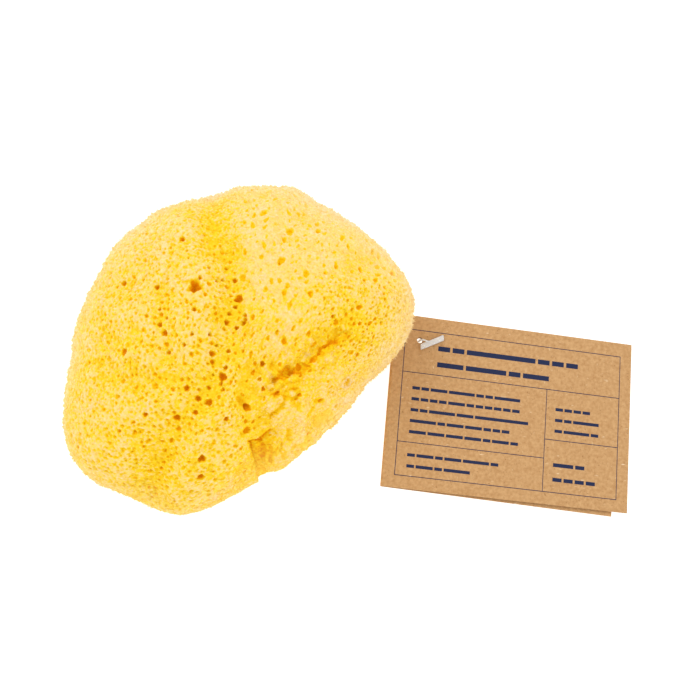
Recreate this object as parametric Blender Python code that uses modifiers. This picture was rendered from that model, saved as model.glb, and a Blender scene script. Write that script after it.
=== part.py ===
"""Sea sponge: a natural bath sponge cut off flat underneath, with a folded card tag pinned to it.

Metres, +Z up. The origin is the middle of the sponge's flat cut base, which stands on Z = 0.
The card lies beside it at +X, its top left corner under the sponge's rim.
"""
import bisect
import math
import random

import bmesh
import bpy
from mathutils import Matrix, Vector, noise
from mathutils.bvhtree import BVHTree

MM = 0.001

# The sponge's body, in mm
HEIGHT = 50.0
GIRTH_HEIGHT = 21.0      # where the plan is widest
BASE_SHARE = 0.70        # width of the cut base as a share of the girth
BULGE = 0.87             # under 1 makes the top fuller than an ellipsoid
BALL_LEVEL = 5           # subdivisions of the starting ball
CORE_HEIGHT = 15.0       # the point on the axis that lumps and creases push away from
BASE_SNAP = 0.25         # points this near the base move onto it

# The plan of the girth: degrees from +X, then mm from the axis. The short stretch from 275 to 340
# degrees is the side that was trimmed straight.
OUTLINE = (
    (0, 48.5), (14, 53.5), (28, 52.7), (42, 50.6), (60, 49.0), (70, 51.0), (80, 49.2), (90, 48.2),
    (102, 48.5), (112, 47.4), (122, 47.3), (130, 46.7), (142, 47.3), (150, 46.8), (160, 46.5),
    (172, 48.7), (180, 49.0), (186, 49.8), (198, 53.5), (210, 57.1), (220, 58.8), (232, 56.0),
    (250, 53.0), (262, 47.5), (275, 42.6), (284, 40.4), (296, 38.1), (308, 36.9), (318, 36.3),
    (340, 39.5), (352, 44.5),
)

# Valleys between the lobes: depth, half width, then points in plan, all in mm
CREASES = (
    (3.5, 6.0, ((-8, 46), (-6, 30), (-1, 17), (2, 6), (1, -1))),
    (3.2, 5.5, ((1, -1), (-3, -15), (-10, -23), (-17, -33), (-24, -46))),
    (2.8, 7.0, ((35, 3), (29, -3), (25, -6), (22, -10), (17, -13), (12, -16))),
    (3.6, 2.4, ((32, -1), (29, -3), (25, -6), (22, -10), (17, -13), (12, -16))),
    (3.5, 5.0, ((5, -46), (8, -33), (5, -23), (5, -15))),
    (1.8, 4.5, ((-36, -6), (-35, -14), (-26, -17), (-13, -17), (-5, -15))),
    (1.2, 4.0, ((-20, 8), (-18, -9))),
    (1.2, 4.0, ((-32, 13), (-30, 14))),
    (1.5, 5.0, ((34, 17), (39, 21))),
)
LEDGE_BLOCK = 6.0        # thickness of the block that cuts a ledge
CREASE_FADE = (-0.25, 0.35)            # how far round the girth the valleys reach, as a slope
CREASE_BLEND = 3         # where valleys meet, the deepest rules: higher is more so
CREASE_TURN = 2          # higher keeps the valleys sinking straight down nearer to the girth
LUMPS = ((1.7, 24.0), (0.8, 11.0))     # rise and spacing of the broad and the fine lumps, mm
LUMP_SHIFT = 7.3

# Mouths of the large pores: plan x, y and radius, mm
MAIN_PORES = (
    (-11.0, 9.5, 2.1), (1.5, 6.5, 1.2), (3.0, 0.0, 1.0), (-1.0, 0.0, 0.9), (-3.0, -15.0, 1.2),
    (4.0, -23.5, 1.5), (-12.0, -19.0, 0.9), (-9.0, -21.5, 0.9), (-6.5, -22.5, 1.1),
    (-5.0, -9.5, 1.0), (-15.0, -26.5, 0.9), (8.0, -10.5, 0.9), (8.5, -18.0, 0.9),
    (-30.5, -8.0, 1.3), (-8.0, -38.0, 1.3), (-8.5, -42.5, 1.2), (-9.0, 13.0, 0.8),
    (-10.5, 3.0, 0.8), (-21.5, 10.5, 0.8), (-18.5, -3.5, 0.9), (-14.5, 25.0, 1.0),
    (18.5, -11.5, 1.0), (-1.0, -27.0, 1.0), (28.0, 3.0, 1.0), (16.0, 28.0, 1.2),
    (31.0, -14.0, 1.1), (-32.0, 13.5, 0.9), (-23.5, -26.0, 0.8), (-30.5, -35.0, 0.9),
)
PORE_DEPTH = 1.9         # as a multiple of the radius
PORE_FLARE = 0.45        # floor radius as a share of the mouth's
PORE_ABOVE = 0.6         # how far its cutter stands out, as a multiple of the radius
PORE_JITTER = 0.07       # how uneven its corners are
PORE_SIDES = 8
BIG_PORE = 1.6           # from this radius a mouth has two more sides
RANDOM_PORES = 58
PORE_RADII = (0.8, 1.3)
PORE_GAP = 0.5
PORE_HEADINGS = (-0.35, 0.9)   # how steeply down and up the seeded ones may face
LOWEST_PORE = 4.0
SEED = 11

# Stepped bites: plan x, y, heading in degrees, then length, width and depth in mm
LEDGES = (
    (7.5, -36.0, 82.0, 13.0, 5.5, 1.9),
    (19.0, -19.0, 35.0, 7.0, 4.5, 1.3),
)

# The folded card, in mm: the front leaf is an A8 card
LEAF_WIDTH = 74.0
LEAF_HEIGHT = 52.0
BACK_SHORTER = 4.4       # the back leaf stops short of the front one at the right
BACK_SKEW = math.radians(1.1)
CARD_THICK = 0.35
LEAF_SPACING = 1.15      # between the middles of the two leaves
CARD_SLOPE = math.radians(6.0)
CARD_TURN = math.radians(-5.3)
CARD_RIGHT_X = 117.9     # middle of the card's right edge
CARD_RIGHT_Y = -20.8
CARD_OFF_FLOOR = 0.05
FOLD_STEPS = 8
HOLE_FROM_FOLD = 8.2
HOLE_FROM_TOP = 7.3
HOLE_RADIUS = 0.9

# The tag pin, in mm
BAR_LENGTH = 8.2
BAR_WIDTH = 1.4
BAR_THICK = 0.8
BAR_SOFT = 0.3           # rounding of its edges
FILAMENT_RADIUS = 0.3
BAR_TURN = math.radians(28.6)
BAR_OFF_HOLE = 4.1       # from the hole to the bar's middle
GAP = 0.35               # clearance between neighbours
POCKET_LONG = 20.0       # the space kept free for the card's corner
POCKET_TALL = 40.0
POCKET_DEEP = 10.0

for old in list(bpy.data.objects):
    bpy.data.objects.remove(old, do_unlink=True)

parts = bpy.data.collections.new("sea_sponge")
cutters = bpy.data.collections.new("cutters")
bpy.context.scene.collection.children.link(parts)
bpy.context.scene.collection.children.link(cutters)


def material(name, color, roughness, alpha=1.0):
    """A Principled material with the piece's colour."""
    made = bpy.data.materials.new(name)
    made.use_nodes = True
    shader = made.node_tree.nodes["Principled BSDF"]
    shader.inputs["Base Color"].default_value = (*color, 1.0)
    shader.inputs["Roughness"].default_value = roughness
    shader.inputs["Metallic"].default_value = 0.0
    shader.inputs["Alpha"].default_value = alpha
    return made


def add_object(name, bm, collection, finish=None):
    """An object from a bmesh in mm."""
    bmesh.ops.scale(bm, vec=(MM, MM, MM), verts=bm.verts)
    mesh = bpy.data.meshes.new(name)
    bm.to_mesh(mesh)
    bm.free()
    made = bpy.data.objects.new(name, mesh)
    collection.objects.link(made)
    if finish:
        mesh.materials.append(finish)
    else:
        made.hide_render = True
        made.display_type = "WIRE"
    return made


def smoothstep(low, high, value):
    """0 below low, 1 above high and a soft rise between."""
    t = min(max((value - low) / (high - low), 0.0), 1.0)
    return t * t * (3.0 - 2.0 * t)


def girth_radius(angle):
    """Plan radius in mm at an angle in degrees, on a smooth closed curve through OUTLINE."""
    angle %= 360.0
    first = bisect.bisect_right([point[0] for point in OUTLINE], angle) - 1
    near = []
    for k in range(first - 1, first + 3):
        turn, index = divmod(k, len(OUTLINE))
        near.append((OUTLINE[index][0] + 360.0 * turn, OUTLINE[index][1]))
    (a0, r0), (a1, r1), (a2, r2), (a3, r3) = near
    span = a2 - a1
    t = (angle - a1) / span
    rise1 = (r2 - r0) / (a2 - a0) * span
    rise2 = (r3 - r1) / (a3 - a1) * span
    cubic = t * t * t
    square = t * t
    return ((2 * cubic - 3 * square + 1) * r1 + (cubic - 2 * square + t) * rise1
            + (3 * square - 2 * cubic) * r2 + (cubic - square) * rise2)


def distance_to_line(x, y, points):
    """Plan distance in mm to a chain of straight runs."""
    best = math.inf
    for (x1, y1), (x2, y2) in zip(points, points[1:]):
        run_x = x2 - x1
        run_y = y2 - y1
        t = ((x - x1) * run_x + (y - y1) * run_y) / (run_x * run_x + run_y * run_y)
        t = min(max(t, 0.0), 1.0)
        best = min(best, math.hypot(x - x1 - t * run_x, y - y1 - t * run_y))
    return best


def sponge_surface(direction):
    """Where a direction of the unit ball comes to lie on the sponge, in mm."""
    across = math.hypot(direction.x, direction.y)
    angle = math.atan2(direction.y, direction.x)
    radius = girth_radius(math.degrees(angle))
    if direction.z >= 0.0:
        share = across ** BULGE
        height = GIRTH_HEIGHT + (HEIGHT - GIRTH_HEIGHT) * direction.z ** BULGE
    else:
        share = across
        height = GIRTH_HEIGHT + GIRTH_HEIGHT / math.sqrt(1.0 - BASE_SHARE ** 2) * direction.z
    place = Vector((share * radius * math.cos(angle), share * radius * math.sin(angle), height))
    outward = (place - Vector((0.0, 0.0, CORE_HEIGHT))).normalized()
    push = 0.0
    for layer, (rise, spacing) in enumerate(LUMPS):
        push += rise * noise.noise(place / spacing + Vector((0.0, 0.0, LUMP_SHIFT * (layer + 1))))
    # The valleys sink straight down on top and turn inwards only near the girth.
    on_top = smoothstep(*CREASE_FADE, direction.z)
    inwards = across ** CREASE_TURN
    sink = Vector((direction.x * inwards, direction.y * inwards, max(direction.z, 0.05))).normalized()
    sunk = 0.0
    for depth, half_width, points in CREASES:
        far = distance_to_line(place.x, place.y, points) / half_width
        sunk += (depth * on_top * math.exp(-far * far)) ** CREASE_BLEND
    return place + outward * push - sink * sunk ** (1.0 / CREASE_BLEND)


def bool_modifier(target, cutter, operation="DIFFERENCE"):
    """Cuts or joins with the EXACT solver."""
    modifier = target.modifiers.new(cutter.name, "BOOLEAN")
    modifier.operation = operation
    modifier.solver = "EXACT"
    modifier.object = cutter
    return modifier


# The sponge's body: a ball drawn out to the outline, lumps and creases, then cut off flat
body = bmesh.new()
bmesh.ops.create_icosphere(body, subdivisions=BALL_LEVEL, radius=1.0)
for vert in body.verts:
    vert.co = sponge_surface(vert.co.normalized())
for vert in body.verts:
    if abs(vert.co.z) < BASE_SNAP:
        vert.co.z = 0.0
bmesh.ops.bisect_plane(body, geom=body.verts[:] + body.edges[:] + body.faces[:], dist=0.001,
                       plane_co=(0, 0, 0), plane_no=(0, 0, -1), clear_outer=True)
rim = [edge for edge in body.edges if edge.is_boundary]
bmesh.ops.triangle_fill(body, use_beauty=True, use_dissolve=False, edges=rim, normal=(0, 0, -1))
bmesh.ops.recalc_face_normals(body, faces=body.faces)
skin = BVHTree.FromBMesh(body)

# The pores' mouths: the listed ones are found straight down, the seeded ones all round
rng = random.Random(SEED)
mouths = []


def try_mouth(hit, normal, radius):
    """Keeps a mouth that stays clear of the others and of the base."""
    if hit is None or hit.z < LOWEST_PORE + radius:
        return
    for other, _, other_radius in mouths:
        if (other - hit).length < other_radius + radius + PORE_GAP:
            return
    mouths.append((hit, normal, radius))


for x, y, radius in MAIN_PORES:
    hit, normal, _, _ = skin.ray_cast(Vector((x, y, 2 * HEIGHT)), Vector((0, 0, -1)))
    try_mouth(hit, normal, radius)
wanted = len(mouths) + RANDOM_PORES
while len(mouths) < wanted:
    turn = rng.uniform(0.0, math.tau)
    rise = rng.uniform(*PORE_HEADINGS)
    level = math.sqrt(1.0 - rise * rise)
    heading = Vector((level * math.cos(turn), level * math.sin(turn), rise))
    far_out = Vector((0.0, 0.0, CORE_HEIGHT)) + heading * 4 * HEIGHT
    hit, normal, _, _ = skin.ray_cast(far_out, -heading)
    try_mouth(hit, normal, rng.uniform(*PORE_RADII))

pores = bmesh.new()
for hit, normal, radius in mouths:
    deep = PORE_DEPTH * radius
    above = PORE_ABOVE * radius
    sides = PORE_SIDES + 2 if radius > BIG_PORE else PORE_SIDES
    slope = radius * (1.0 - PORE_FLARE) / deep
    spin = Matrix.Rotation(rng.uniform(0.0, math.tau), 4, "Z")
    aim = normal.to_track_quat("Z", "Y").to_matrix().to_4x4()
    middle = hit + normal * (above - deep) / 2.0
    cone = bmesh.ops.create_cone(pores, cap_ends=True, segments=sides,
                                 radius1=radius * PORE_FLARE, radius2=radius + slope * above,
                                 depth=deep + above, matrix=Matrix.Translation(middle) @ aim @ spin)
    for vert in cone["verts"]:
        vert.co = middle + (vert.co - middle) * rng.uniform(1.0 - PORE_JITTER, 1.0 + PORE_JITTER)

# The ledges: blocks laid on the skin and tipped, so that one long side bites and the other fades out
ledges = bmesh.new()
for x, y, heading, long, wide, bite in LEDGES:
    hit, normal, _, _ = skin.ray_cast(Vector((x, y, 2 * HEIGHT)), Vector((0, 0, -1)))
    along = Vector((math.cos(math.radians(heading)), math.sin(math.radians(heading)), 0.0))
    along = (along - normal * along.dot(normal)).normalized()
    side = normal.cross(along)
    axes = Matrix((along, side, normal)).transposed().to_4x4()
    tip = Matrix.Rotation(-math.atan2(bite, wide), 4, "X")
    block = Matrix.Diagonal((long, wide, LEDGE_BLOCK, 1.0))
    lift = Matrix.Translation((0.0, 0.0, LEDGE_BLOCK / 2.0 - bite / 2.0))
    bmesh.ops.create_cube(ledges, size=1.0,
                          matrix=Matrix.Translation(hit) @ axes @ tip @ lift @ block)

# The card's own frame: x runs right and ends at the right edge, y runs up the leaf from its
# middle, and z stands off its face
card_home = bpy.data.objects.new("card_home", None)
parts.objects.link(card_home)
lowest = -LEAF_SPACING - CARD_THICK / 2.0
card_rise = -lowest * math.cos(CARD_SLOPE) - BACK_SHORTER * math.sin(CARD_SLOPE) + CARD_OFF_FLOOR
card_home.location = (CARD_RIGHT_X * MM, CARD_RIGHT_Y * MM, card_rise * MM)
card_home.rotation_euler = (0.0, CARD_SLOPE, CARD_TURN)

# The folded card: the section of both leaves and the fold, drawn out over the height and made solid
fold_radius = LEAF_SPACING / 2.0
fold_x = -LEAF_WIDTH + fold_radius
section = [(0.0, 0.0)]
for step in range(FOLD_STEPS + 1):
    turn = math.pi * step / FOLD_STEPS
    section.append((fold_x - fold_radius * math.sin(turn), fold_radius * (math.cos(turn) - 1.0)))
section.append((-BACK_SHORTER, -LEAF_SPACING))
sheet = bmesh.new()
low_row = [sheet.verts.new((x, -LEAF_HEIGHT / 2.0, z)) for x, z in section]
strips = [sheet.edges.new(pair) for pair in zip(low_row, low_row[1:])]
drawn = bmesh.ops.extrude_edge_only(sheet, edges=strips)
high_row = [item for item in drawn["geom"] if isinstance(item, bmesh.types.BMVert)]
bmesh.ops.translate(sheet, vec=(0.0, LEAF_HEIGHT, 0.0), verts=high_row)
for vert in sheet.verts:
    if vert.co.z < -0.75 * LEAF_SPACING:
        vert.co.y -= (vert.co.x - fold_x) * math.tan(BACK_SKEW)
bmesh.ops.recalc_face_normals(sheet, faces=sheet.faces)
card = add_object("tag_card", sheet, parts, material("kraft_card", (0.64, 0.38, 0.17), 0.85))
card.parent = card_home
thicken = card.modifiers.new("thickness", "SOLIDIFY")
thicken.thickness = CARD_THICK * MM
thicken.offset = 0.0
hole_x = -LEAF_WIDTH + HOLE_FROM_FOLD
hole_y = LEAF_HEIGHT / 2.0 - HOLE_FROM_TOP
punch = bmesh.new()
bmesh.ops.create_cone(punch, cap_ends=True, segments=16, radius1=HOLE_RADIUS, radius2=HOLE_RADIUS,
                      depth=4.0 * LEAF_SPACING,
                      matrix=Matrix.Translation((hole_x, hole_y, -LEAF_SPACING / 2.0)))
hole = add_object("card_hole", punch, cutters)
hole.parent = card_home
bool_modifier(card, hole)

# The tag pin: its bar lies on the card, its filament goes down the hole, back under the card
# past the fold, and up into the sponge
bar_height = CARD_THICK / 2.0 + GAP + BAR_THICK / 2.0
under_height = lowest - GAP - FILAMENT_RADIUS - 0.1
route = (
    (hole_x + BAR_OFF_HOLE, hole_y, bar_height),
    (hole_x + 2.2, hole_y, bar_height + 0.25),
    (hole_x + 0.7, hole_y, bar_height + 0.1),
    (hole_x, hole_y, 0.0),
    (hole_x, hole_y, -LEAF_SPACING),
    (hole_x - 0.8, hole_y, under_height),
    (hole_x - 4.0, hole_y - 0.2, under_height),
    (-LEAF_WIDTH, hole_y - 0.7, under_height),
    (-LEAF_WIDTH - 3.0, hole_y - 1.1, under_height + 1.6),
    (-LEAF_WIDTH - 5.2, hole_y - 1.3, under_height + 5.0),
    (-LEAF_WIDTH - 6.2, hole_y - 1.3, under_height + 8.0),
)


def tube(name, points, radius):
    """A closed round tube in mm through points, made a mesh in the card's frame."""
    curve = bpy.data.curves.new(name, "CURVE")
    curve.dimensions = "3D"
    curve.bevel_depth = radius * MM
    curve.bevel_resolution = 1
    curve.resolution_u = 3
    curve.use_fill_caps = True
    spline = curve.splines.new("BEZIER")
    spline.bezier_points.add(len(points) - 1)
    for point, place in zip(spline.bezier_points, points):
        point.co = Vector(place) * MM
        point.handle_left_type = "AUTO"
        point.handle_right_type = "AUTO"
    drawn_curve = bpy.data.objects.new(name, curve)
    cutters.objects.link(drawn_curve)
    drawn_curve.parent = card_home
    bpy.context.view_layer.update()
    seen = drawn_curve.evaluated_get(bpy.context.evaluated_depsgraph_get())
    mesh = bpy.data.meshes.new_from_object(seen)
    bm = bmesh.new()
    bm.from_mesh(mesh)
    bmesh.ops.remove_doubles(bm, verts=bm.verts, dist=0.02 * MM)
    bmesh.ops.recalc_face_normals(bm, faces=bm.faces)
    bm.to_mesh(mesh)
    bm.free()
    made = bpy.data.objects.new(name, mesh)
    cutters.objects.link(made)
    made.matrix_world = drawn_curve.matrix_world
    made.hide_render = True
    made.display_type = "WIRE"
    bpy.data.objects.remove(drawn_curve, do_unlink=True)
    return made


filament = tube("filament", route, FILAMENT_RADIUS)
end_run = Vector(route[-1]) - Vector(route[-2])
channel = tube("filament_channel", route[6:] + (Vector(route[-1]) + end_run.normalized() * 1.2,),
               FILAMENT_RADIUS + GAP)

# The bar is a soft-edged flat strip, and the filament grows out of its middle
pin = bmesh.new()
bmesh.ops.create_cube(pin, size=1.0, matrix=Matrix.Diagonal((BAR_LENGTH, BAR_WIDTH, BAR_THICK, 1.0)))
bmesh.ops.bevel(pin, geom=pin.edges[:], offset=BAR_SOFT, segments=2, affect="EDGES", profile=0.5,
                material=-1)
bmesh.ops.rotate(pin, cent=(0, 0, 0), matrix=Matrix.Rotation(BAR_TURN, 3, "Z"), verts=pin.verts)
bmesh.ops.translate(pin, vec=route[0], verts=pin.verts)
fastener = add_object("tag_fastener", pin, parts, material("clear_nylon", (0.86, 0.87, 0.86), 0.35, 0.7))
fastener.parent = card_home
bool_modifier(fastener, filament, "UNION")

# The sponge's corner over the card is pressed clear of it
pocket_bm = bmesh.new()
bmesh.ops.create_cube(pocket_bm, size=1.0,
                      matrix=Matrix.Diagonal((POCKET_LONG, POCKET_TALL, POCKET_DEEP, 1.0)))
pocket_place = (-LEAF_WIDTH - CARD_THICK / 2.0 - GAP + POCKET_LONG / 2.0,
                LEAF_HEIGHT / 2.0 + GAP - POCKET_TALL / 2.0,
                CARD_THICK / 2.0 + GAP - POCKET_DEEP / 2.0)
bmesh.ops.translate(pocket_bm, vec=pocket_place, verts=pocket_bm.verts)
pocket = add_object("card_pocket", pocket_bm, cutters)
pocket.parent = card_home

sponge = add_object("sponge", body, parts, material("sponge_fibre", (0.98, 0.66, 0.12), 0.9))
bool_modifier(sponge, add_object("ledge_blocks", ledges, cutters))
bool_modifier(sponge, add_object("pores", pores, cutters))
bool_modifier(sponge, pocket)
bool_modifier(sponge, channel)
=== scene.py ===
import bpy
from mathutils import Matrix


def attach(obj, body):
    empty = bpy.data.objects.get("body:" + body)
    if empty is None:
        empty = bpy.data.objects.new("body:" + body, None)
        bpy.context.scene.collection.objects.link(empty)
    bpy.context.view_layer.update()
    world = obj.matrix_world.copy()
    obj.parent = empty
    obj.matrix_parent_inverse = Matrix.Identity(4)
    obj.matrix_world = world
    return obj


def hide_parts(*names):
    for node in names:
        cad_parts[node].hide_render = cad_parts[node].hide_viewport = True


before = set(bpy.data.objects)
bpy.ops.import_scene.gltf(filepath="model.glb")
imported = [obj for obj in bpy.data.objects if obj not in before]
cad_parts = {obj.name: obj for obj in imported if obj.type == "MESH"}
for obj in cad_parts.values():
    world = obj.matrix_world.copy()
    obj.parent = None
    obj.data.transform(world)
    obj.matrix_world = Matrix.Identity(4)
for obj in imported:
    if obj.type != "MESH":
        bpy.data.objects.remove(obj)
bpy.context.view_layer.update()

import itertools
import math
import random

import bmesh
import bpy
import numpy as np
from mathutils import Matrix, Vector, noise
from mathutils.kdtree import KDTree


# The view: a camera high over the near side, looking down on the sponge and its card.
def put_in_scene(name, data):
    """A new object, linked to the scene."""
    made = bpy.data.objects.new(name, data)
    bpy.context.scene.collection.objects.link(made)
    return made


camera_data = bpy.data.cameras.new("camera")
camera_data.sensor_width = 36.0
camera_data.lens = 77.1
camera = put_in_scene("camera", camera_data)
camera_rise = math.radians(76.0)
camera_reach = 0.45
camera.location = (0.033, -camera_reach * math.cos(camera_rise), 0.015 + camera_reach * math.sin(camera_rise))
camera.rotation_euler = (math.pi / 2.0 - camera_rise, 0.0, 0.0)
bpy.context.scene.camera = camera

# The sponge: one natural bath sponge, a springy mesh of fibre that grew in lobes round its canals.
# It was cut from the rock, so it is flat underneath, and trimmed straight along its near right side.
# Its outline is a radius in mm at each angle, and each crease a depth, a half width and its run in plan.
MM = 0.001
SPONGE_HEIGHT = 50.0
GIRTH_HEIGHT = 21.0
BASE_SHARE = 0.70
BULGE = 0.87
CORE = np.array((0.0, 0.0, 15.0))
OUTLINE = (
    (0, 48.5), (14, 53.5), (28, 52.7), (42, 50.6), (60, 49.0), (70, 51.0), (80, 49.2), (90, 48.2),
    (102, 48.5), (112, 47.4), (122, 47.3), (130, 46.7), (142, 47.3), (150, 46.8), (160, 46.5),
    (172, 48.7), (180, 49.0), (186, 49.8), (198, 53.5), (210, 57.1), (220, 58.8), (232, 56.0),
    (250, 53.0), (262, 47.5), (275, 42.6), (284, 40.4), (296, 38.1), (308, 36.9), (318, 36.3),
    (340, 39.5), (352, 44.5),
)
CREASES = (
    (3.5, 6.0, ((-8, 46), (-6, 30), (-1, 17), (2, 6), (1, -1))),
    (3.2, 5.5, ((1, -1), (-3, -15), (-10, -23), (-17, -33), (-24, -46))),
    (2.8, 7.0, ((35, 3), (29, -3), (25, -6), (22, -10), (17, -13), (12, -16))),
    (3.6, 2.4, ((32, -1), (29, -3), (25, -6), (22, -10), (17, -13), (12, -16))),
    (3.5, 5.0, ((5, -46), (8, -33), (5, -23), (5, -15))),
    (1.8, 4.5, ((-36, -6), (-35, -14), (-26, -17), (-13, -17), (-5, -15))),
    (1.2, 4.0, ((-20, 8), (-18, -9))),
    (1.2, 4.0, ((-32, 13), (-30, 14))),
    (1.5, 5.0, ((34, 17), (39, 21))),
)
DEEPEST = CREASES[3][2]
LUMPS = ((1.7, 24.0), (0.8, 11.0))


def soft_step(low, high, value):
    """0 below low, 1 above high and a soft rise between, on numbers or arrays."""
    t = np.clip((value - low) / (high - low), 0.0, 1.0)
    return t * t * (3.0 - 2.0 * t)


def ring_table():
    """The girth's radius at every degree, on a smooth closed curve through OUTLINE."""
    angles = np.arange(360.0)
    radii = []
    for angle in angles:
        first = max(k for k in range(len(OUTLINE)) if OUTLINE[k][0] <= angle)
        near = []
        for k in range(first - 1, first + 3):
            turn, index = divmod(k, len(OUTLINE))
            near.append((OUTLINE[index][0] + 360.0 * turn, OUTLINE[index][1]))
        (a0, r0), (a1, r1), (a2, r2), (a3, r3) = near
        span = a2 - a1
        t = (angle - a1) / span
        rise1 = (r2 - r0) / (a2 - a0) * span
        rise2 = (r3 - r1) / (a3 - a1) * span
        radii.append((2 * t**3 - 3 * t**2 + 1) * r1 + (t**3 - 2 * t**2 + t) * rise1
                     + (3 * t**2 - 2 * t**3) * r2 + (t**3 - t**2) * rise2)
    return angles, np.array(radii)


ring_angles, ring_radii = ring_table()


def far_from(place, points):
    """Plan distance from each place to a chain of straight runs, in mm."""
    best = np.full(len(place), 1000.0)
    for start, end in zip(np.array(points, float), np.array(points, float)[1:]):
        run = end - start
        t = np.clip((place[:, :2] - start) @ run / (run @ run), 0.0, 1.0)
        best = np.minimum(best, np.linalg.norm(place[:, :2] - start - t[:, None] * run, axis=1))
    return best


def rumple(place, spacing, shift):
    """Soft noise at each place, about -0.7 to 0.7."""
    points = place / spacing + shift
    return np.array([noise.noise(point) for point in points.tolist()])


def on_sponge(direction):
    """Where unit directions come to lie on the sponge's plain skin, in mm: the solid's own shape."""
    x, y, z = direction.T
    across = np.hypot(x, y)
    angle = np.arctan2(y, x)
    radius = np.interp(np.degrees(angle), ring_angles, ring_radii, period=360.0)
    share = np.where(z >= 0.0, across**BULGE, across)
    low_depth = GIRTH_HEIGHT / math.sqrt(1.0 - BASE_SHARE**2)
    height = np.where(z >= 0.0, GIRTH_HEIGHT + (SPONGE_HEIGHT - GIRTH_HEIGHT) * np.abs(z)**BULGE,
                      GIRTH_HEIGHT - low_depth * np.abs(z))
    place = np.stack((share * radius * np.cos(angle), share * radius * np.sin(angle), height), axis=1)
    outward = place - CORE
    outward /= np.linalg.norm(outward, axis=1)[:, None]
    push = np.zeros(len(place))
    for layer, (rise, spacing) in enumerate(LUMPS):
        push += rise * rumple(place, spacing, np.array((0.0, 0.0, 7.3 * (layer + 1))))
    sink = np.stack((x * across**2, y * across**2, np.maximum(z, 0.05)), axis=1)
    sink /= np.linalg.norm(sink, axis=1)[:, None]
    sunk = np.zeros(len(place))
    for depth, half_width, points in CREASES:
        sunk += (depth * soft_step(-0.25, 0.35, z) * np.exp(-(far_from(place, points) / half_width)**2))**3
    return place + outward * push[:, None] - sink * np.cbrt(sunk)[:, None]


# Pores: the mouths of its canals, each given by its place in plan and its radius in mm. The largest are
# where the real ones are. The rest are scattered, close and round on the left lobe, and drawn out and
# sparser on the right one, as if pulled from FAN_CENTRE.
DARK_PORES = (
    (-10.4, 10.0, 2.0), (1.8, 7.2, 1.1), (3.0, 0.0, 0.7), (-1.2, 0.0, 0.8), (-2.4, -15.4, 1.1),
    (4.4, -23.4, 0.95), (-12.1, -18.8, 0.9), (-9.1, -21.4, 0.8), (-6.3, -22.4, 1.0),
    (-5.0, -9.3, 0.9), (-4.8, -11.6, 0.7), (-14.9, -26.6, 0.9), (8.7, -11.9, 0.8), (8.9, -18.4, 0.7),
    (-30.4, -8.0, 1.1), (-8.0, -37.8, 1.1), (-8.6, -42.3, 1.0), (-9.0, 12.7, 0.7),
    (-10.3, 3.1, 0.7), (-21.6, 10.6, 0.7), (-18.7, -3.4, 0.9), (-14.7, 25.1, 0.9),
    (18.4, -11.5, 0.8), (-1.0, -27.2, 0.8), (28.3, 2.3, 0.6), (-31.7, 13.3, 0.8), (-23.7, -25.9, 0.7),
    (-10.0, -25.1, 0.7), (-10.7, -4.2, 0.6), (-6.2, -18.5, 0.6), (3.5, 2.2, 0.6), (-20.2, -0.8, 0.7),
    (0.5, 12.6, 0.7), (-20.4, 3.9, 0.5), (-17.5, -8.8, 0.6), (-6.6, 16.0, 0.5), (1.3, -1.3, 0.6),
    (7.8, -15.8, 0.6), (3.6, 1.0, 0.5), (-2.3, -19.0, 0.6), (-2.9, -17.3, 0.5), (-3.8, -6.9, 0.5),
    (-0.8, -8.1, 0.6), (-4.9, -15.1, 0.4), (-5.7, -4.0, 0.6), (-13.1, -7.3, 0.6), (-1.6, -12.9, 0.6),
    (25.8, -5.5, 0.6), (0.9, 4.7, 0.6), (-0.5, 2.6, 0.6), (-18.4, 1.0, 0.5), (-1.9, 16.4, 0.5),
    (-4.3, 12.1, 0.5), (-2.7, 12.6, 0.5), (12.9, -19.3, 0.6), (19.1, -19.5, 0.5),
)
GOLD_PORES = (
    (15.9, 28.0, 1.1), (-31.3, -30.1, 0.6), (-18.7, 12.8, 0.5), (-13.2, 0.8, 0.5), (-16.4, -1.9, 0.7),
    (-16.5, -8.2, 0.5), (-12.2, -4.9, 0.6), (0.6, -10.7, 0.6), (-23.2, -40.2, 0.7), (-30.4, -28.8, 0.6),
    (4.1, -26.9, 0.6), (-5.4, 18.4, 0.5), (-26.7, -37.7, 0.6), (-23.0, -32.8, 0.8), (-30.1, -35.0, 0.8),
    (-16.6, -32.4, 0.8), (22.7, -9.3, 0.9), (-19.6, -28.8, 0.6), (-11.5, -45.8, 0.7), (9.3, 9.3, 0.7),
    (-34.8, -9.2, 0.8), (-21.2, -17.8, 0.9), (-15.8, 13.4, 0.6), (-6.9, 4.1, 0.8), (29.2, 0.9, 0.8),
    (14.7, -5.5, 0.9), (23.9, 28.8, 0.8), (-14.6, -29.4, 0.8), (-2.0, -38.1, 0.7), (-0.1, -36.5, 0.7),
    (25.2, -20.4, 0.6), (-30.5, -15.9, 0.7), (-16.1, -18.8, 0.7), (-3.3, 21.7, 0.7), (4.5, -29.1, 1.0),
    (-26.8, -30.7, 0.7), (-32.0, -20.4, 0.7), (-18.8, 8.1, 0.7), (5.6, 1.3, 0.7), (-3.7, -30.1, 0.7),
    (-8.8, 25.1, 0.6), (33.4, -6.9, 0.7), (-4.7, -42.6, 0.7), (-29.3, 7.7, 0.8), (-17.1, 9.4, 0.7),
    (2.7, 13.3, 1.0), (35.7, 5.6, 0.7), (-19.8, 5.9, 0.6), (3.1, -8.2, 0.6), (-6.8, -46.3, 0.7),
    (13.6, 18.4, 1.0), (20.6, 14.4, 0.9), (8.2, 33.6, 0.9), (22.0, 8.2, 0.8), (7.4, -31.6, 0.8),
)
RING_PORE = (32.2, -14.8, 1.15)
FAN_CENTRE = (2.0, -26.0)
PORE_CELL = 3.0
SCATTERED_PORES = 11000
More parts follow.
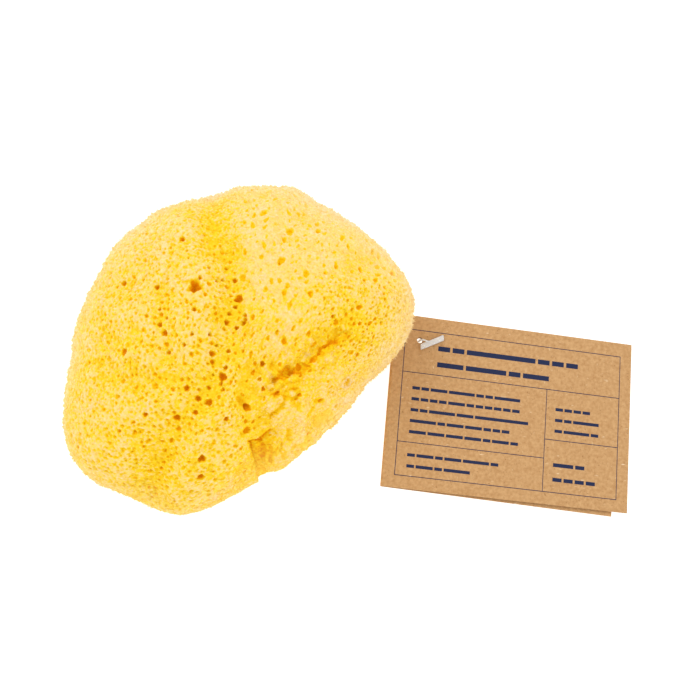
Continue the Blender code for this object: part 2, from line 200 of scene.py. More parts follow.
seed_ball = bmesh.new()
bmesh.ops.create_icosphere(seed_ball, subdivisions=6, radius=1.0)
seed_places = on_sponge(np.array([vert.co.normalized() for vert in seed_ball.verts]))
top_tree = KDTree(len(seed_places))
for index, (vert, spot) in enumerate(zip(seed_ball.verts, seed_places)):
    vert.co = spot
    if spot[2] > GIRTH_HEIGHT:
        top_tree.insert((spot[0], spot[1], 0.0), index)
top_tree.balance()
bmesh.ops.recalc_face_normals(seed_ball, faces=seed_ball.faces)
seed_ball.normal_update()
seed_ball.verts.ensure_lookup_table()
seed_ball.faces.ensure_lookup_table()
seed_area = np.array([face.calc_area() for face in seed_ball.faces])
seed_reach = np.cumsum(seed_area) / seed_area.sum()
dice = random.Random(4)
pores = []
pore_cells = {}


def band_side(x, y):
    """Over 0 on the smooth band between the deepest valley and the trimmed edge, on numbers or arrays."""
    return np.minimum.reduce((x - 4.0, 0.655 * (x - 5.0) - 15.0 - y, 32.0 - x - 0.3 * (y + 12.0)))


def skin_over(x, y):
    """The place on the plain skin over a point of the plan, and which way the skin faces there."""
    _, index, _ = top_tree.find((x, y, 0.0))
    near = seed_ball.verts[index]
    facing = near.normal.copy()
    fall = ((x - near.co.x) * facing.x + (y - near.co.y) * facing.y) / facing.z
    return Vector((x, y, near.co.z - fall)), facing


def open_pore(spot, facing, radius, stretch, deep, gap, pit_shade, lip, fade):
    """Keeps a pore if a gap is left to the others. Pit shade is its painted shade, less fade times the rim sheen.
    """
    cell = tuple(math.floor(c / PORE_CELL) for c in spot)
    for shift in itertools.product((-1, 0, 1), repeat=3):
        for other in pore_cells.get(tuple(c + step for c, step in zip(cell, shift)), ()):
            if (other["spot"] - spot).length < other["radius"] + radius * stretch + gap:
                return
    pull = spot - Vector((*FAN_CENTRE, 30.0))
    pull = (pull - facing * pull.dot(facing)).normalized()
    swing = Matrix.Rotation(dice.uniform(-0.6, 0.6), 3, facing)
    pore = {"spot": spot, "in": facing, "radius": radius, "stretch": stretch, "deep": deep,
            "long": swing @ pull, "phase": dice.uniform(0.0, 9.0), "pit_shade": pit_shade, "lip": lip, "fade": fade}
    pore_cells.setdefault(cell, []).append(pore)
    pores.append(pore)


for kind, known_pores in (("dark", DARK_PORES), ("gold_and_shade", GOLD_PORES), ("ring", (RING_PORE,))):
    for x, y, radius in known_pores:
        # Pores are painted shade inside, deepest in the large dark ones and lighter in the gold ones.
        stretch, deep, pit_shade, lip = 1.1, 1.6 * radius + 0.25, min(1.0, 0.5 + 0.55 * radius), 0.10
        if kind == "gold_and_shade":
            deep = 0.8 * radius
            stretch, pit_shade = (1.5, 0.60) if x > 5.0 else (1.1, 0.36 + 0.12 * radius)
        elif kind == "ring":
            deep, pit_shade, lip = 0.9, 0.45, 0.6
        open_pore(*skin_over(x, y), radius, stretch, deep, -0.2, pit_shade, lip, 0.15)
for _ in range(SCATTERED_PORES):
    face = seed_ball.faces[int(np.searchsorted(seed_reach, dice.random()))]
    u, v = sorted((dice.random(), dice.random()))
    a, b, c = (vert.co for vert in face.verts)
    spot = a * u + b * (v - u) + c * (1.0 - v)
    facing = (face.verts[0].normal + face.verts[1].normal + face.verts[2].normal).normalized()
    on_left = False
    # The last number set here scales each scattered pore's depth and its painted shade together: lower off the left
    # lobe, and on it falling away from its middle and towards the far side.
    chance, stretch, size, pore_strength = 1.0, 1.0 + 0.5 * dice.random(), 1.0, 1.0
    if facing.z > 0.2 and band_side(spot.x, spot.y) > 0.0:
        chance, stretch, size, pore_strength = 0.12, 1.2 + dice.random(), 1.1, 0.80
    elif facing.z > 0.2 and spot.x > 23.0 and spot.y < 15.0:
        chance, stretch, size, pore_strength = 1.0, 1.0 + 0.5 * dice.random(), 0.9, 0.95
    elif facing.z > 0.2 and spot.x > 1.0 + 3.0 * noise.noise(spot / 9.0):
        chance, stretch, size, pore_strength = 0.30, 1.3 + dice.random(), 1.2, 0.80
    else:
        on_left = True
    if facing.z < 0.45:
        chance *= 0.5
    if dice.random() > chance:
        continue
    radius = size * (0.29 + 0.30 * dice.random()**1.5)
    if dice.random() < 0.035:
        radius = size * dice.uniform(0.55, 0.85)
    if on_left:
        pore_strength -= 0.4 * min(max(math.hypot(spot.x + 8.0, spot.y + 3.0) / 20.0 - 0.7, 0.0), 1.0)
        pore_strength *= 1.0 - 0.3 * soft_step(5.0, 30.0, spot.y)
    deep = radius * dice.uniform(0.6, 0.95) * pore_strength
    open_pore(spot, facing, radius, stretch, deep, 0.25, (0.40 + 0.45 * radius) * pore_strength, 0.10, 0.5)


def sink_pores(place, rim_sheen):
    """How deep, in mm, and how far into a pore, 0 to 1, each place on the skin lies, the latter as painted shade.
    """
    tree = KDTree(len(place))
    for index, spot in enumerate(place.tolist()):
        tree.insert(spot, index)
    tree.balance()
    deep = np.zeros(len(place))
    pit_shade = np.zeros(len(place))
    lip = np.zeros(len(place))
    for pore in pores:
        reach = pore["radius"] * pore["stretch"] * 1.6
        found = [index for _, index, _ in tree.find_range(pore["spot"], reach)]
        if not found:
            continue
        found = np.array(found)
        offset = place[found] - np.array(pore["spot"])
        along = offset @ np.array(pore["long"])
        side = offset @ np.array(pore["in"].cross(pore["long"]))
        turn = np.arctan2(side, along)
        jag = 0.15 if pore["radius"] > 1.5 else 0.10
        ragged = (1.0 + jag * np.sin(3.0 * turn + pore["phase"])
                  + 0.7 * jag * np.sin(5.0 * turn - 2.0 * pore["phase"])
                  + 0.4 * jag * np.sin(8.0 * turn + 3.0 * pore["phase"]))
        off = np.hypot(along / pore["stretch"], side) / (pore["radius"] * ragged)
        wall = 1.0 - soft_step(0.45, 1.05, off)
        deep[found] = np.maximum(deep[found], pore["deep"] * wall)
        # Painted shade inside the pore, lighter under the painted rim sheen.
        pore_shade = pore["pit_shade"] * (1.0 - pore["fade"] * rim_sheen[found]) * (1.0 - soft_step(0.55, 1.25, off))
        pit_shade[found] = np.maximum(pit_shade[found], pore_shade)
        lip[found] = np.maximum(lip[found], pore["lip"] * np.exp(-((off - 1.25) / 0.22)**2))
    return deep, pit_shade, lip


# The torn part: where the sponge was trimmed, the fibre is ripped into a ledge and a notch, with short
# grooves, flakes and pale knobs. A groove is its half width, its depth and its run in plan, in mm.
LEDGE_CORNER = (5.2, -32.0, 0.0)
LEDGE_FACES = (0.547, -0.837, 0.0)
NOTCH_FACES = (0.99, 0.13, 0.0)
LEDGE_BITE = 2.1
SHREDDED = (13.0, -18.0)
PALE_KNOBS = (
    (27.0, -8.8, 1.5), (8.4, -19.6, 1.3), (13.4, -20.9, 1.2), (17.0, -19.2, 1.1), (11.0, -17.6, 0.9),
)
GROOVES = (
    (0.50, 0.9, ((10.5, -25.8), (12.2, -24.6), (13.1, -23.6), (14.4, -22.1))),
    (0.44, 0.7, ((12.2, -24.6), (14.3, -23.1))), (0.88, 0.9, ((23.9, -25.8), (25.8, -23.9), (27.6, -22.6))),
    (0.56, 0.8, ((23.8, -20.9), (25.4, -20.2))), (0.44, 0.6, ((21.4, -24.4), (22.9, -22.4))),
    (0.75, 0.9, ((3.2, -30.2), (4.6, -28.9))),
    (0.50, 0.7, ((5.2, -32.1), (7.7, -31.2), (9.2, -29.6), (10.4, -28.7))),
    (0.50, 0.7, ((5.5, -32.9), (5.8, -35.1))), (0.75, 0.8, ((8.2, -33.3), (8.0, -35.6))),
    (0.69, 0.8, ((10.6, -33.9), (10.2, -36.3))), (0.62, 0.7, ((12.8, -33.3), (11.8, -34.6))),
    (0.44, 0.8, ((14.0, -32.2), (13.5, -34.1))), (0.62, 0.8, ((16.1, -29.1), (15.7, -30.5))),
    (0.44, 0.7, ((17.8, -32.0), (16.6, -33.3))), (0.56, 0.9, ((21.8, -29.4), (19.4, -31.9))),
    (0.44, 0.7, ((14.9, -34.0), (14.1, -35.2))), (0.56, 1.1, ((12.3, -19.9), (13.1, -18.6), (14.2, -17.3))),
    (0.62, 0.9, ((8.5, -19.0), (8.2, -20.6))), (0.75, 0.9, ((15.0, -20.4), (17.2, -20.7), (19.1, -19.0))),
    (0.56, 0.7, ((15.3, -18.5), (18.2, -17.9))), (0.50, 0.7, ((18.6, -22.8), (18.9, -21.6))),
    (0.62, 1.3, ((2.6, -21.4), (4.1, -23.1))), (0.88, 0.9, ((11.6, -12.6), (13.2, -14.0), (15.4, -12.8))),
)


def tear(place):
    """The torn relief: a stepped bite in mm, how shaded it is, and how rumpled the skin is."""
    corner = place - LEDGE_CORNER
    south = corner @ LEDGE_FACES + 0.30 * rumple(place, 1.6, 4.4)
    east = corner @ NOTCH_FACES + 0.55 * rumple(place, 2.0, 14.4)
    inside = soft_step(-0.1, 0.35, south) * soft_step(-0.1, 0.35, east) * soft_step(2.0, 8.0, place[:, 2])
    bite = LEDGE_BITE * inside * np.exp(-(np.maximum(east, 0.0) / 7.0)**2)
    bite *= 0.60 + 0.40 * np.exp(-(np.maximum(south, 0.0) / 6.0)**2)
    shade = inside * (np.exp(-(south / 1.3)**2) * np.exp(-(east / 6.0)**2) + 0.35 * np.exp(-(east / 0.8)**2))
    high = soft_step(20.0, 30.0, place[:, 2])
    fold = np.exp(-(far_from(place, DEEPEST) / 3.0)**2) * high
    shred = np.exp(-(np.linalg.norm(place[:, :2] - SHREDDED, axis=1) / 5.5)**2) * high
    return bite, shade, np.clip(fold + shred, 0.0, 1.0)


def open_grooves(place):
    """How far into a torn groove, 0 to 1, each place lies, and how deep in mm it is there."""
    bent = place + 0.25 * rumple(place, 1.7, 91.0)[:, None] * (1.0, -1.0, 0.0)
    inside = np.zeros(len(place))
    deep = np.zeros(len(place))
    for half_width, depth, points in GROOVES:
        cut = np.exp(-(far_from(bent, points) / half_width)**2) * soft_step(10.0, 20.0, place[:, 2])
        inside = np.maximum(inside, cut)
        deep = np.maximum(deep, depth * cut)
    return inside, deep


def on_knobs(place):
    """How far onto one of the pale knobs, 0 to 1, each place lies."""
    knob = np.zeros(len(place))
    for x, y, radius in PALE_KNOBS:
        off = np.linalg.norm(place[:, :2] - (x, y), axis=1) / radius
        knob = np.maximum(knob, 1.0 - soft_step(0.5, 1.15, off))
    return knob * soft_step(10.0, 20.0, place[:, 2])


def along_split(place):
    """How far into the split at the bottom of the deepest valley and the fold about it, 0 to 1; both carry painted
    shade.
    """
    wander = far_from(place + 0.9 * rumple(place, 2.4, 51.0)[:, None] * (1.0, -1.0, 0.0), DEEPEST)
    high = soft_step(20.0, 30.0, place[:, 2])
    split = np.exp(-(wander / 0.5)**2) * np.clip(0.6 + 1.5 * rumple(place, 4.0, 63.0), 0.0, 1.0)
    return split * high, np.exp(-(wander / 1.9)**2) * high


def flake(place):
    """Small overlapping steps of torn fibre: how high, in steps, and how near a step's edge, 0 to 1."""
    level = rumple(place + 0.7 * rumple(place, 1.5, 61.0)[:, None], 4.2, 21.0) * 3.2
    climb = level - np.floor(level)
    return np.floor(level) + soft_step(0.0, 0.22, climb), np.exp(-((climb - 0.10) / 0.10)**2)


# The skin: the fine relief of the fibre between the pores. It is a sieve of small pits, round on the left
# lobe, drawn out on the right one and a net at the right end, with soft tufts that are shaggy at the rims.
SKIN_INSET = 0.35
TUFT_SHIFT = 57.0
SHAG_SPACING = 1.3


def nearest_tuft(place, spacing):
    """Where the nearest tuft's middle lies, and how far off it is as a share of the spacing."""
    middles, off = [], []
    for point in (place / spacing).tolist():
        far, points = noise.voronoi(point)
        middles.append(points[0])
        off.append(far[0])
    return np.array(middles) * spacing, np.array(off)


def skin_areas(place):
    """How far each place belongs to the right lobe, its pitted end, its calm far part and the smooth band."""
    x, y, z = place.T
    end = soft_step(20.0, 27.0, x) * soft_step(20.0, 10.0, y)
    right = soft_step(-1.0, 5.0, x + 2.5 * rumple(place, 7.0, 33.0)) * (1.0 - end)
    band = soft_step(-2.0, 2.0, band_side(x, y)) * soft_step(8.0, 20.0, z)
    return right, end, right * soft_step(4.0, 16.0, y), band


def draw_out(place):
    """The places by arms from FAN_CENTRE, shortened along them, so that what is round there lies long here."""
    arm = place[:, :2] - FAN_CENTRE
    return np.stack((np.hypot(*arm.T) / 1.9, np.arctan2(arm[:, 1], arm[:, 0]) * 30.0, place[:, 2]), axis=1)


def sieve_pits(place, right, end, calm, band):
    """How far into one of the small pits each place lies, and how far into one of the right end's net."""
    _, cell = nearest_tuft(place, 1.35)
    _, slot = nearest_tuft(draw_out(place), 1.5)
    _, mesh = nearest_tuft(place + 31.0, 1.05)
    round_pit = 1.0 - soft_step(0.15, 0.44, cell)
    long_pit = 1.0 - soft_step(0.13, 0.40, slot)
    net = end * (1.0 - soft_step(0.12, 0.42, mesh))
    sieve = (1.0 - right - end) * round_pit + right * (1.0 - 0.5 * calm) * long_pit + 1.15 * net
    return sieve * ((1.0 - 0.7 * band) * (1.0 - 0.35 * right)), net


def rim_hair(place):
    """Fine upright streaks round the sponge's sides, about -0.7 to 0.7."""
    x, y, z = place.T
    return rumple(np.stack((np.arctan2(y, x) * 60.0, np.hypot(x, y) / 4.0, z / 4.0), axis=1), 0.9, 5.0)


def valley_shade(place):
    """How much painted shade each place gets in the valleys between the lobes, 0 to 1, most in the deepest."""
    valley = np.zeros(len(place))
    for depth, half_width, points in CREASES:
        near = np.exp(-(far_from(place, points) / (0.9 * half_width))**2)
        valley = np.maximum(valley, min(1.0, 0.25 + depth / 5.0) * near)
    return valley * soft_step(12.0, 26.0, place[:, 2])


def rough_skin(place, facing, rim_sheen):
    """Moves places on the plain skin to the real one; also how golden with painted shade and how hidden from fibre,
    0 to 1.
    """
    bite, shade, torn = tear(place)
    deep, pit_shade, lip = sink_pores(place, rim_sheen)
    groove_shade, groove_deep = open_grooves(place)
    split, fold = along_split(place)
    terrace, edge = flake(place)
    knob = on_knobs(place)
    right, end, calm, band = skin_areas(place)
    sieve, net = sieve_pits(place, right, end, calm, band)
    hair = rim_hair(place)
    swell = rumple(place, 5.5, 3.1)
    ripple = rumple(place, 2.2, 8.7)
    _, tuft = nearest_tuft(place + TUFT_SHIFT, 0.80)
    _, shag = nearest_tuft(place + TUFT_SHIFT, SHAG_SPACING)
    flaked = np.clip(band * 0.7 + torn, 0.0, 1.0)
    push = -SKIN_INSET + 0.45 * swell + 0.26 * ripple - 0.36 * sieve + 0.16 * (0.45 - tuft)
    push += 0.28 * terrace * flaked + (0.12 * hair + (0.40 - shag)) * np.minimum(2.0 * rim_sheen, 1.0)
    push += 0.8 * knob - 0.8 * split - groove_deep
    push += torn * 1.2 * rumple(place * (1.0, 1.0, 0.5), 2.2, 5.5)
    push += lip - bite - deep * (1.0 - 0.55 * torn)

    streak = rumple(draw_out(place) / (2.2, 1.0, 1.0), 0.8, 19.0) * right
    patch = soft_step(0.05, 0.5, rumple(place, 9.0, 77.0)) * (1.0 - band) * (1.0 - 0.7 * calm)
    # Painted shade in a hollow at the right end, at the head of the deepest valley.
    hollow_shade = np.exp(-np.sum(((place[:, :2] - (35.5, -1.5)) / (9.0, 7.5))**2, axis=1))
    hollow_shade *= soft_step(12.0, 26.0, place[:, 2])
    # Painted shade and light: the gold deepens in the sieve's pits, between the tufts, in the troughs of the
    # ripples and swells, in the valleys, the hollow and at the flakes' step edges, and is painted lighter towards
    # the far side; hair, streaks and patches are the fibre's own tone.
    gold_and_shade = 0.22 + 0.22 * hair * rim_sheen + 0.40 * sieve + 0.45 * (tuft - 0.45) * (1.0 - 0.65 * calm)
    gold_and_shade = gold_and_shade - 0.22 * ripple * (1.0 - 0.5 * calm) - 0.10 * swell + 0.13 * streak
    gold_and_shade = gold_and_shade - 0.045 * np.clip(place[:, 1] / 25.0, -1.0, 1.0) + 0.25 * valley_shade(place)
    gold_and_shade = gold_and_shade + 0.10 * patch + 0.12 * hollow_shade + 0.14 * (edge * flaked)
    # Painted shade along the fold about the deepest valley.
    gold_and_shade = np.minimum(gold_and_shade, 0.64) + 0.17 * fold * (1.0 + 1.2 * rumple(place, 1.4, 41.0))
    # Painted shade in the torn grooves.
    gold_and_shade = np.maximum(gold_and_shade, np.minimum(gold_and_shade + 0.50 * groove_shade, 0.74))
    # Painted shade in the pores, the split, the ledge's bite and the shadow under its lip; the pores' raised lips
    # and the knobs are paler.
    gold_and_shade += pit_shade + 0.30 * split + 0.16 * bite / LEDGE_BITE + 0.18 * shade - lip - 0.30 * knob
    # The torn relief is painted paler where it stands high and a deeper gold where it dips, as painted shade.
    gold_and_shade -= torn * 0.35 * rumple(place, 2.2, 5.5)
    hidden = pit_shade + 0.5 * split + 0.5 * groove_shade + 0.45 * net
    return place + facing * push[:, None], np.clip(gold_and_shade, 0.0, 1.0), np.clip(hidden, 0.0, 1.0)


def painted_rim_sheen(direction):
    """How much painted sheen and rim light the fibre gets, 0 to 1: most at the girth and on the lit far side."""
    rise = direction[:, 2]
    lit_side = np.clip(0.54 + 0.42 * direction[:, 1] - 0.04 * direction[:, 0], 0.0, 1.0)
    above = soft_step(0.60 + 0.15 * direction[:, 1], 0.0, rise)
    below = 1.0 - 0.5 * soft_step(-0.05, -0.5, rise)
    return above * below * lit_side


# The body of the sponge: one springy mass, made here as five gores of a fine ball that is drawn onto the
# skin. Each gore is closed at the core of the sponge, and meets its neighbours edge to edge.
GORES = 5


def ball_gore(number):
    """One fifth of a fine ball, from pole to pole."""
    ball = bmesh.new()
    bmesh.ops.create_icosphere(ball, subdivisions=1, radius=1.0)
    spare = []
    for level in (-1, 0, 1):
        ring = [face for face in ball.faces if round(face.calc_center_median().z) == level]
        ring.sort(key=lambda face: math.atan2(face.calc_center_median().y, face.calc_center_median().x))
        share = len(ring) // GORES
        spare += ring[:number * share] + ring[(number + 1) * share:]
    bmesh.ops.delete(ball, geom=spare, context="FACES")
    for cuts in (4, 3, 7):
        bmesh.ops.subdivide_edges(ball, edges=ball.edges[:], cuts=cuts, use_grid_fill=True)
        for vert in ball.verts:
            vert.co.normalize()
    return ball


def spread(direction):
    """Draws the ball's points up, so that most of them cover the top and few the flat underside."""
    rise = np.interp(direction[:, 2], (-1.0, -0.92, -0.48, 1.0), (-1.0, -0.714, 0.0, 1.0))
    across = np.hypot(direction[:, 0], direction[:, 1])
    factor = np.sqrt(np.maximum(1.0 - rise**2, 0.0)) / np.maximum(across, 1e-9)
    return np.stack((direction[:, 0] * factor, direction[:, 1] * factor, rise), axis=1)


def plain_skin(direction):
    """Where directions come to lie on the plain skin, and which way the skin faces there."""
    least = np.argmin(np.abs(direction), axis=1)
    side = np.cross(direction, np.eye(3)[least])
    side /= np.linalg.norm(side, axis=1)[:, None]
    other = np.cross(direction, side)
    step = 0.004
    place = on_sponge(direction)
    along = on_sponge((direction + side * step) / math.hypot(1.0, step)) - place
    aside = on_sponge((direction + other * step) / math.hypot(1.0, step)) - place
    facing = np.cross(along, aside)
    facing /= np.maximum(np.linalg.norm(facing, axis=1), 1e-12)[:, None]
    facing *= np.sign(np.sum(facing * (place - CORE), axis=1))[:, None]
    on_base = place[:, 2] <= 0.0
    facing[on_base] = (0.0, 0.0, -1.0)
    place[:, 2] = np.maximum(place[:, 2], 0.0)
    return place, facing


def store(mesh, name, values):
    """Keeps one number for each vertex on a mesh."""
    layer = mesh.attributes.new(name, "FLOAT", "POINT")
    filled = np.zeros(len(mesh.vertices))
    filled[:len(values)] = values
    layer.data.foreach_set("value", filled)


def make_body(number):
    """One gore of the body. Returns it, and its skin before it was closed, for the fibre that stands on it."""
    gore = ball_gore(number)
    direction = spread(np.array([vert.co.copy() for vert in gore.verts]))
    place, facing = plain_skin(direction)
    rim_sheen = painted_rim_sheen(direction)
    rough, gold_and_shade, hidden = rough_skin(place, facing, rim_sheen)
    rough[:, 2] = np.maximum(rough[:, 2], 0.0)
    for vert, spot in zip(gore.verts, (rough * MM).tolist()):
        vert.co = spot
    gore.verts.index_update()
    corners = np.array([[vert.index for vert in face.verts] for face in gore.faces])
    skin = {"shape": gore, "faces": gore.faces[:], "corners": corners, "place": rough, "facing": facing,
            "gold_and_shade": gold_and_shade, "rim_sheen": rim_sheen, "hidden": hidden}
    rim = [edge for edge in gore.edges if edge.is_boundary]
    for edge in rim:
        edge.smooth = False
    drawn = bmesh.ops.extrude_edge_only(gore, edges=rim)["geom"]
    bmesh.ops.pointmerge(gore, verts=[item for item in drawn if isinstance(item, bmesh.types.BMVert)],
                         merge_co=CORE * MM)
    bmesh.ops.recalc_face_normals(gore, faces=gore.faces)
    mesh = bpy.data.meshes.new(f"sponge_body_{number + 1}")
    gore.to_mesh(mesh)
    mesh.shade_smooth()
    store(mesh, "gold_and_shade", gold_and_shade)
    store(mesh, "rim_sheen", rim_sheen)
    store(mesh, "tip", np.zeros(len(gold_and_shade)))
    return put_in_scene(mesh.name, mesh), skin


# The fibre: the stiff ends of the sponge's fibre, which stand all over it and gather into small tufts.
# Each is a thin three-sided spike on a face of the body. They keep out of the pores, lean towards the
# middle of their tuft, and are longer at the rims, where the fibre is shaggy and painted pale as sheen.
FIBRES_PER_GORE = 31000
TUFT_SPACING = 0.95
THIRD_TURN = math.tau / 3.0
draws = np.random.RandomState(7)


def unit(vectors):
    """Rows drawn out or in to a length of 1."""
    return vectors / np.maximum(np.linalg.norm(vectors, axis=1), 1e-12)[:, None]


def finish_mesh(shape, name):
    """A mesh from a bmesh, which isn't needed any more."""
    mesh = bpy.data.meshes.new(name)
    shape.to_mesh(mesh)
    shape.free()
    return mesh


def fibre_ends(middle, out, gold_and_shade, rim_sheen):
    """Where the ends and the three-cornered roots of fibres come, for the middles of their faces."""
    count = len(middle)
    shaggy = rim_sheen > 0.18
    tuft_middle, tuft_off = nearest_tuft(middle + TUFT_SHIFT, TUFT_SPACING)
    shag_middle, shag_off = nearest_tuft(middle + TUFT_SHIFT, SHAG_SPACING)
    tuft_middle = np.where(shaggy[:, None], shag_middle, tuft_middle)
    tuft_off = np.where(shaggy, shag_off, tuft_off)
    lean = tuft_middle - TUFT_SHIFT - middle
    lean -= out * np.sum(lean * out, axis=1)[:, None]
    loose = draws.random_sample(count)[:, None] < 0.25
    lean = np.where(loose, 0.1, np.where(shaggy, 0.75, 0.5)[:, None]) * lean
    lean = lean + draws.normal(0.0, 0.07, (count, 3))
    long = draws.uniform(0.28, 0.62, count) * (1.0 - 0.45 * gold_and_shade)
    long *= np.where(shaggy, 2.4 - 3.2 * np.minimum(tuft_off, 0.6), 1.2 - 0.5 * tuft_off)
    tips = middle + out * long[:, None] + lean
    tips[:, 2] = np.maximum(tips[:, 2], 0.0)
    thick = draws.uniform(0.055, 0.09, count)
    side = np.cross(out, draws.normal(0.0, 1.0, (count, 3)))
    side *= (thick / np.linalg.norm(side, axis=1))[:, None]
    other = np.cross(out, side)
    roots = [middle - out * 0.05 + side * math.cos(turn) + other * math.sin(turn)
             for turn in (0.0, THIRD_TURN, 2.0 * THIRD_TURN)]
    return tips, np.maximum(np.stack(roots, axis=1), (-1000.0, -1000.0, 0.0))


def grow_pile(number, skin):
    """The fibre on one gore of the body."""
    gore, corners = skin["shape"], skin["corners"]
    a, b, c = (skin["place"][corners[:, k]] for k in range(3))
    middle = (a + b + c) / 3.0
    area = np.linalg.norm(np.cross(b - a, c - a), axis=1) / 2.0
    normal = unit(np.cross(b - a, c - a))
    plain = skin["facing"][corners[:, 0]]
    normal *= np.sign(np.sum(normal * plain, axis=1))[:, None]
    gold_and_shade, rim_sheen, hidden = (skin[name][corners].mean(axis=1) for name in ("gold_and_shade", "rim_sheen", "hidden"))
    weight = area * np.clip(1.0 - 1.6 * hidden, 0.0, 1.0) * (middle[:, 2] > 0.5)
    keep = np.nonzero(draws.random_sample(len(area)) < weight / weight.sum() * FIBRES_PER_GORE)[0]
    chosen = [skin["faces"][index] for index in keep]
    wanted = set(chosen)
    bmesh.ops.delete(gore, geom=[face for face in gore.faces if face not in wanted], context="FACES")
    bmesh.ops.split_edges(gore, edges=gore.edges[:])
    tips, roots = fibre_ends(middle[keep], unit(plain[keep] * 0.6 + normal[keep] * 0.4), gold_and_shade[keep], rim_sheen[keep])
    for face, feet in zip(chosen, (roots * MM).tolist()):
        for vert, spot in zip(face.verts, feet):
            vert.co = spot
    poked = bmesh.ops.poke(gore, faces=chosen)
    gore.verts.index_update()
    owner = np.zeros(len(gore.verts), int)
    is_tip = np.zeros(len(gore.verts))
    for index, (vert, spot) in enumerate(zip(poked["verts"], (tips * MM).tolist())):
        vert.co = spot
        is_tip[vert.index] = 1.0
        owner[[vert.index] + [edge.other_vert(vert).index for edge in vert.link_edges]] = index
    mesh = finish_mesh(gore, f"sponge_fibre_{number + 1}")
    store(mesh, "gold_and_shade", gold_and_shade[keep][owner])
    store(mesh, "rim_sheen", rim_sheen[keep][owner])
    store(mesh, "tip", is_tip * (1.0 - 0.8 * gold_and_shade[keep][owner]))
    return put_in_scene(mesh.name, mesh)


sponge_pieces = []
for number in range(GORES):
    body, skin = make_body(number)
    sponge_pieces += [body, grow_pile(number, skin)]

# The sponge's finish: bleached gold fibre, pale at its ends. Paler where it stands out and a deeper gold in its
# hollows are painted light and shade, for the light only gets into the hollows by passing from wall to wall.
SPONGE_TONES = (
    (0.0, (0.97, 0.735, 0.36)), (0.28, (0.965, 0.70, 0.19)), (0.50, (0.96, 0.68, 0.030)),
    (0.76, (0.945, 0.60, 0.006)), (1.0, (0.87, 0.37, 0.002)),
)
# The pale tone of the painted rim sheen.
RIM_SHEEN_TONE = (0.955, 0.785, 0.59, 1.0)
TIP_TONE = (0.975, 0.77, 0.34, 1.0)


def new_finish(name, settings):
    """A material with these settings, its node tree and its shader."""
    made = bpy.data.materials.new(name)
    made.use_nodes = True
    shader = made.node_tree.nodes["Principled BSDF"]
    for setting, value in settings.items():
        shader.inputs[setting].default_value = value
    return made, made.node_tree, shader


def feed(tree, socket, value):
    """Gives a socket a value or the output of another node."""
    if isinstance(value, bpy.types.NodeSocket):
        tree.links.new(value, socket)
    else:
        socket.default_value = value


def work(tree, operation, *values, held=False):
    """One Math node on sockets or numbers, its result held between 0 and 1 where asked."""
    made = tree.nodes.new("ShaderNodeMath")
    made.operation = operation
    made.use_clamp = held
    for socket, value in zip(made.inputs, values):
        feed(tree, socket, value)
    return made.outputs[0]


def scale_up(tree, value, factor, add=0.0):
    """value times factor plus add, held between 0 and 1."""
    return work(tree, "MULTIPLY_ADD", value, factor, add, held=True)


def read_layer(tree, name):
    """The output of a stored layer of the mesh."""
    made = tree.nodes.new("ShaderNodeAttribute")
    made.attribute_name = name
    return made.outputs["Fac"]


def mix_colour(tree, factor, low, high):
    """A colour mix whose ends are colours or sockets."""
    made = tree.nodes.new("ShaderNodeMix")
    made.data_type = "RGBA"
    for socket, value in ((made.inputs[0], factor), (made.inputs[6], low), (made.inputs[7], high)):
        feed(tree, socket, value)
    return made.outputs[2]


def add_noise(tree, place, scale, detail):
    """Noise at a place, 0 to 1."""
    made = tree.nodes.new("ShaderNodeTexNoise")
    made.inputs["Scale"].default_value = scale
    made.inputs["Detail"].default_value = detail
    tree.links.new(place, made.inputs["Vector"])
    return made.outputs["Fac"]


def add_bump(tree, shader, height, strength, distance):
    """Roughens a shader's surface by a height."""
    bump = tree.nodes.new("ShaderNodeBump")
    bump.inputs["Strength"].default_value = strength
    bump.inputs["Distance"].default_value = distance
    tree.links.new(height, bump.inputs["Height"])
    tree.links.new(bump.outputs["Normal"], shader.inputs["Normal"])


sponge_finish, tree, shader = new_finish("bleached_sponge_fibre", {"Roughness": 1.0, "Specular IOR Level": 0.03})
grain = add_noise(tree, tree.nodes.new("ShaderNodeTexCoord").outputs["Object"], 1500.0, 3.0)
ramp = tree.nodes.new("ShaderNodeValToRGB")
ramp.color_ramp.interpolation = "EASE"
while len(ramp.color_ramp.elements) < len(SPONGE_TONES):
    ramp.color_ramp.elements.new(0.5)
for stop, (position, tone) in zip(ramp.color_ramp.elements, SPONGE_TONES):
    stop.position = position
    stop.color = (*tone, 1.0)
speckle = work(tree, "MULTIPLY_ADD", grain, 0.8, -0.4)
# The ramp gives the gold and its painted shade their colour, to a deep orange-brown where the shade is painted
# deepest.
feed(tree, ramp.inputs["Fac"], work(tree, "ADD", read_layer(tree, "gold_and_shade"), speckle, held=True))
# Painted sheen: the fibre is mixed towards a pale tone at the girth and on the lit far side.
tone = mix_colour(tree, scale_up(tree, read_layer(tree, "rim_sheen"), 0.85), ramp.outputs["Color"], RIM_SHEEN_TONE)
tone = mix_colour(tree, scale_up(tree, read_layer(tree, "tip"), 0.28), tone, TIP_TONE)
feed(tree, shader.inputs["Base Color"], tone)
add_bump(tree, shader, grain, 0.5, 0.0002)
for piece in sponge_pieces:
    piece.data.materials.append(sponge_finish)
    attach(piece, "root")
    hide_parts("sponge")

